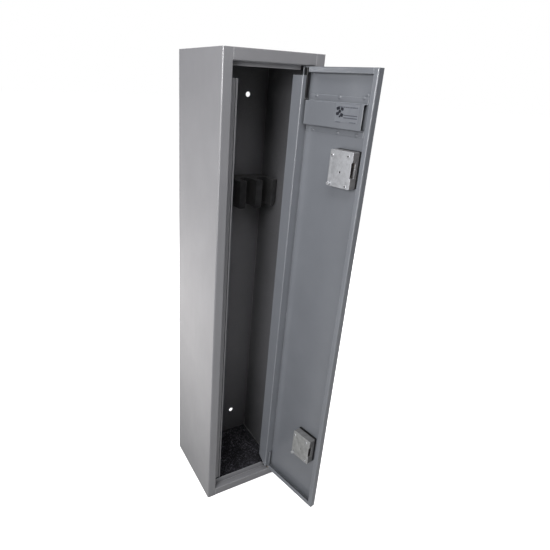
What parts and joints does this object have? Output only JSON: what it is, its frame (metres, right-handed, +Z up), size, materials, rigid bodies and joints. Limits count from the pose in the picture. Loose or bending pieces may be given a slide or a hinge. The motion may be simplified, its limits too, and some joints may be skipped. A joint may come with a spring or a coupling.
{
  "type": "gun safe",
  "caption": "Tall narrow steel gun cabinet with a full-height hinged door, lever locks with key-driven bolts, anti-pry bar, stiffener, foam barrel rest and floor mat.",
  "frame": {"origin": "centre of the underside of the cabinet base", "axes": "+Z up, the front faces -Y, +X is the hinge side; the door stands open at 101.5 degrees at joint value 0"},
  "size_m": [0.2795, 0.4393, 1.3],
  "materials": {
    "cabinet_paint": "grey textured powder coat, satin",
    "inner_paint": "grey powder coat, satin",
    "door_paint": "grey textured powder coat, satin",
    "foam": "black closed-cell foam",
    "mat": "black ribbed carpet",
    "steel": "plain turned steel",
    "bright_steel": "bright zinc",
    "bolt_steel": "ground steel",
    "zinc_plate": "bright zinc plate",
    "hard_plate": "black hardened steel",
    "brass": "plain brass",
    "label": "printed silver film"
  },
  "bodies": {
    "cabinet": {"left_side_panel": "cabinet_paint", "right_side_panel": "cabinet_paint", "back_panel": "inner_paint", "top_panel": "cabinet_paint", "bottom_panel": "cabinet_paint", "lock_keep_strip": "cabinet_paint", "barrel_rest": "foam", "floor_mat": "mat", "lower_hinge_pin": "steel", "hinge_washer": "brass"},
    "door": {"door_panel": "door_paint", "anti_pry_bar": "door_paint", "door_stiffener": "door_paint", "door_label": "label", "upper_hinge_tube": "door_paint", "lower_hinge_tube": "door_paint", "upper_hinge_pin": "steel", "escutcheon_rivets": "steel", "upper_lock_case": "zinc_plate", "upper_lock_cover": "zinc_plate", "upper_drill_plate": "hard_plate", "upper_lever_post": "steel", "upper_cover_screws": "steel", "upper_fixing_screw": "bright_steel", "upper_escutcheon": "zinc_plate", "lower_lock_case": "zinc_plate", "lower_lock_cover": "zinc_plate", "lower_drill_plate": "hard_plate", "lower_lever_post": "steel", "lower_cover_screws": "steel", "lower_fixing_screw": "bright_steel", "lower_escutcheon": "zinc_plate"},
    "upper_bolt": {"upper_lock_bolt": "bolt_steel"},
    "upper_lever_pack": {"upper_levers": "brass", "upper_lever_springs": "steel"},
    "upper_curtain": {"upper_key_curtain": "brass"},
    "lower_bolt": {"lower_lock_bolt": "bolt_steel"},
    "lower_lever_pack": {"lower_levers": "brass", "lower_lever_springs": "steel"},
    "lower_curtain": {"lower_key_curtain": "brass"}
  },
  "joints": [
    {"name": "door_hinge", "type": "hinge", "parent": "cabinet", "child": "door", "pos_m": [0.095, -0.115, 0.65], "axis": [0, 0, 1], "range_deg": [-101.5, 7]},
    {"name": "upper_key_turn", "type": "hinge", "parent": "door", "child": "upper_curtain", "pos_m": [0.11931, -0.25956, 1.053], "axis": [0.9799, 0.1994, 0], "range_deg": [0, 330]},
    {"name": "upper_bolt_throw", "type": "slide", "parent": "door", "child": "upper_bolt", "axis": [0.1994, -0.9799, 0], "range_m": [0, 0.016]},
    {"name": "upper_lever_lift", "type": "hinge", "parent": "door", "child": "upper_lever_pack", "pos_m": [0.11642, -0.24535, 1.085], "axis": [-0.9799, -0.1994, 0], "range_deg": [0, 5.5]},
    {"name": "lower_key_turn", "type": "hinge", "parent": "door", "child": "lower_curtain", "pos_m": [0.11851, -0.25564, 0.225], "axis": [0.9799, 0.1994, 0], "range_deg": [0, 330]},
    {"name": "lower_bolt_throw", "type": "slide", "parent": "door", "child": "lower_bolt", "axis": [0.1994, -0.9799, 0], "range_m": [0, 0.016]},
    {"name": "lower_lever_lift", "type": "hinge", "parent": "door", "child": "lower_lever_pack", "pos_m": [0.11562, -0.24143, 0.257], "axis": [-0.9799, -0.1994, 0], "range_deg": [0, 5.5]}
  ],
  "couplings": [
    {"joint": "upper_key_turn", "follows": "upper_bolt_throw", "rad_per_m": 359.97},
    {"joint": "upper_lever_lift", "follows": "upper_bolt_throw", "rad_per_m": 5.9995},
    {"joint": "lower_key_turn", "follows": "lower_bolt_throw", "rad_per_m": 359.97},
    {"joint": "lower_lever_lift", "follows": "lower_bolt_throw", "rad_per_m": 5.9995}
  ]
}
